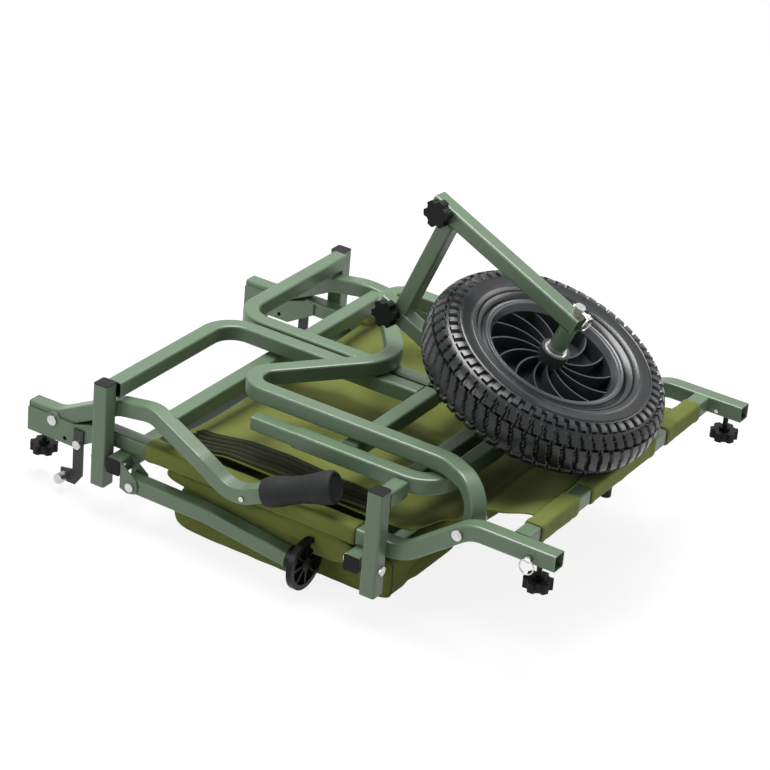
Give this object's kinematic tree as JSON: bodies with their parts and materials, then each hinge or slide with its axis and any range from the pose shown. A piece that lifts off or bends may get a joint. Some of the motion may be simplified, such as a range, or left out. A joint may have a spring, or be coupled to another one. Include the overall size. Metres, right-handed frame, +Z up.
{
  "type": "fishing_trolley",
  "caption": "Folded fishing trolley: green square-tube frame with side gates, front rack, handles, legs, lift-off wheel and fork, and an olive bag under the bed",
  "frame": {"origin": "Middle of the frame's length on its centre plane, at the level of the floor under the bag", "axes": "+X from the handle end to the open front ends, +Y to the far side, +Z up"},
  "size_m": [0.895, 0.686, 0.5027],
  "materials": {
    "green_paint": "satin",
    "black_paint": "satin",
    "black_plastic": "matte",
    "zinc": "satin",
    "grip_rubber": "matte",
    "tyre_rubber": "matte",
    "olive_cloth": "matte"
  },
  "bodies": {
    "frame": {"side_rail_near": "green_paint", "side_rail_far": "green_paint", "front_cross_tube": "green_paint", "lower_tube_rear": "green_paint", "lower_tube_front": "green_paint", "lower_tube_caps": "black_plastic", "handle_socket_near": "green_paint", "handle_socket_far": "green_paint", "drop_bracket_near": "black_paint", "drop_bracket_far": "black_paint", "drop_bolts": "zinc", "gate_bolts": "zinc", "rack_bolts": "zinc", "handle_bolts": "zinc", "leg_hanger_near": "green_paint", "leg_hanger_far": "green_paint", "leg_bolts": "zinc", "side_sleeves": "olive_cloth", "front_sleeves": "olive_cloth", "bed_cloth": "olive_cloth", "bag": "olive_cloth", "knob_centre": "black_plastic"},
    "gate_near_body": {"gate_near": "green_paint", "gate_caps_near": "black_plastic"},
    "gate_far_body": {"gate_far": "green_paint", "gate_caps_far": "black_plastic"},
    "slide_near": {"slide_tube_near": "green_paint"},
    "slide_far": {"slide_tube_far": "green_paint"},
    "rack": {"rack_hoop": "green_paint", "rack_legs": "green_paint"},
    "handles": {"handle_near": "green_paint", "handle_far": "green_paint", "handle_cross_bar": "green_paint", "handle_caps": "black_plastic", "grip_near": "grip_rubber", "grip_far": "grip_rubber"},
    "button_near_body": {"button_near": "zinc"},
    "button_far_body": {"button_far": "zinc"},
    "leg_near_body": {"leg_near": "green_paint", "mud_foot_near": "black_plastic"},
    "leg_far_body": {"leg_far": "green_paint", "mud_foot_far": "black_plastic"},
    "plunger_near_body": {"plunger_near": "zinc"},
    "plunger_far_body": {"plunger_far": "zinc"},
    "wheel_unit": {"fork": "green_paint", "axle": "zinc", "axle_spacers": "green_paint", "axle_nuts": "zinc"},
    "wheel": {"rim": "black_plastic", "tyre": "tyre_rubber", "hub_bearings": "zinc"},
    "fork_knob_upper_body": {"fork_knob_upper": "black_plastic"},
    "fork_knob_lower_body": {"fork_knob_lower": "black_plastic"},
    "knob_front_near_body": {"knob_front_near": "black_plastic"},
    "knob_front_far_body": {"knob_front_far": "black_plastic"},
    "knob_rear_near_body": {"knob_rear_near": "black_plastic"},
    "knob_rear_far_body": {"knob_rear_far": "black_plastic"},
    "ring_pin_near_body": {"ring_pin_front_near": "zinc"},
    "ring_pin_far_body": {"ring_pin_front_far": "zinc"},
    "axle_pin_body": {"axle_ring_pin": "zinc"}
  },
  "joints": [
    {"name": "wheel_lift", "type": "slide", "parent": "frame", "child": "wheel_unit", "axis": [0, 0, 1], "range_m": [0, 1]},
    {"name": "gate_near_fold", "type": "hinge", "parent": "frame", "child": "gate_near_body", "pos_m": [-0.29592, -0.3075, 0.0845], "axis": [1, 0, 0], "range_deg": [0, 90]},
    {"name": "gate_far_fold", "type": "hinge", "parent": "frame", "child": "gate_far_body", "pos_m": [-0.29592, 0.3075, 0.0845], "axis": [-1, 0, 0], "range_deg": [0, 90]},
    {"name": "rack_fold", "type": "hinge", "parent": "frame", "child": "rack", "pos_m": [0.29692, 0, 0.176], "axis": [0, 1, 0], "range_deg": [0, 100]},
    {"name": "handle_fold", "type": "hinge", "parent": "frame", "child": "handles", "pos_m": [-0.39992, 0, 0.104], "axis": [0, -1, 0], "range_deg": [0, 1.5]},
    {"name": "wheel_spin", "type": "hinge", "parent": "wheel_unit", "child": "wheel", "pos_m": [0.24892, 0, 0.298], "axis": [0.3665, 0, 0.9304], "continuous": true},
    {"name": "leg_near_fold", "type": "hinge", "parent": "frame", "child": "leg_near_body", "pos_m": [-0.23542, -0.3035, 0.062], "axis": [0, 1, 0], "range_deg": [0, 100]},
    {"name": "slide_near_pull", "type": "slide", "parent": "gate_near_body", "child": "slide_near", "axis": [-1, 0, 0], "range_m": [-0.06, 0.08]},
    {"name": "button_near_press", "type": "slide", "parent": "handles", "child": "button_near_body", "axis": [0, 1, 0], "range_m": [0, 0.003]},
    {"name": "plunger_near_pull", "type": "slide", "parent": "frame", "child": "plunger_near_body", "axis": [0, -1, 0], "range_m": [0, 0.006]},
    {"name": "knob_front_near_turn", "type": "hinge", "parent": "frame", "child": "knob_front_near_body", "pos_m": [0.41992, -0.278, 0.147], "axis": [0, 0, 1], "continuous": true},
    {"name": "knob_rear_near_turn", "type": "hinge", "parent": "frame", "child": "knob_rear_near_body", "pos_m": [-0.42742, -0.278, 0.05], "axis": [0, 0, 1], "continuous": true},
    {"name": "ring_pin_near_pull", "type": "slide", "parent": "frame", "child": "ring_pin_near_body", "axis": [0, -1, 0], "range_m": [0, 0.04]},
    {"name": "leg_far_fold", "type": "hinge", "parent": "frame", "child": "leg_far_body", "pos_m": [-0.23542, 0.3035, 0.062], "axis": [0, 1, 0], "range_deg": [0, 100]},
    {"name": "slide_far_pull", "type": "slide", "parent": "gate_far_body", "child": "slide_far", "axis": [-1, 0, 0], "range_m": [-0.06, 0.08]},
    {"name": "button_far_press", "type": "slide", "parent": "handles", "child": "button_far_body", "axis": [0, -1, 0], "range_m": [0, 0.003]},
    {"name": "plunger_far_pull", "type": "slide", "parent": "frame", "child": "plunger_far_body", "axis": [0, 1, 0], "range_m": [0, 0.006]},
    {"name": "knob_front_far_turn", "type": "hinge", "parent": "frame", "child": "knob_front_far_body", "pos_m": [0.41992, 0.278, 0.147], "axis": [0, 0, 1], "continuous": true},
    {"name": "knob_rear_far_turn", "type": "hinge", "parent": "frame", "child": "knob_rear_far_body", "pos_m": [-0.42742, 0.278, 0.05], "axis": [0, 0, 1], "continuous": true},
    {"name": "ring_pin_far_pull", "type": "slide", "parent": "frame", "child": "ring_pin_far_body", "axis": [0, 1, 0], "range_m": [0, 0.04]},
    {"name": "fork_knob_upper_turn", "type": "hinge", "parent": "wheel_unit", "child": "fork_knob_upper_body", "pos_m": [0.05349, 0.02396, 0.48085], "axis": [0.0892, 0.9954, -0.0351], "continuous": true},
    {"name": "fork_knob_lower_turn", "type": "hinge", "parent": "wheel_unit", "child": "fork_knob_lower_body", "pos_m": [-0.01871, 0.02396, 0.29756], "axis": [0.0892, 0.9954, -0.0351], "continuous": true},
    {"name": "axle_pin_pull", "type": "slide", "parent": "wheel_unit", "child": "axle_pin_body", "axis": [0.9261, -0.0958, -0.3648], "range_m": [0, 0.04]}
  ],
  "couplings": [
    {"joint": "gate_near_fold", "follows": "wheel_lift", "rad_per_m": 1.0854},
    {"joint": "gate_far_fold", "follows": "wheel_lift", "rad_per_m": 1.0854},
    {"joint": "rack_fold", "follows": "wheel_lift", "rad_per_m": 1.7366}
  ]
}
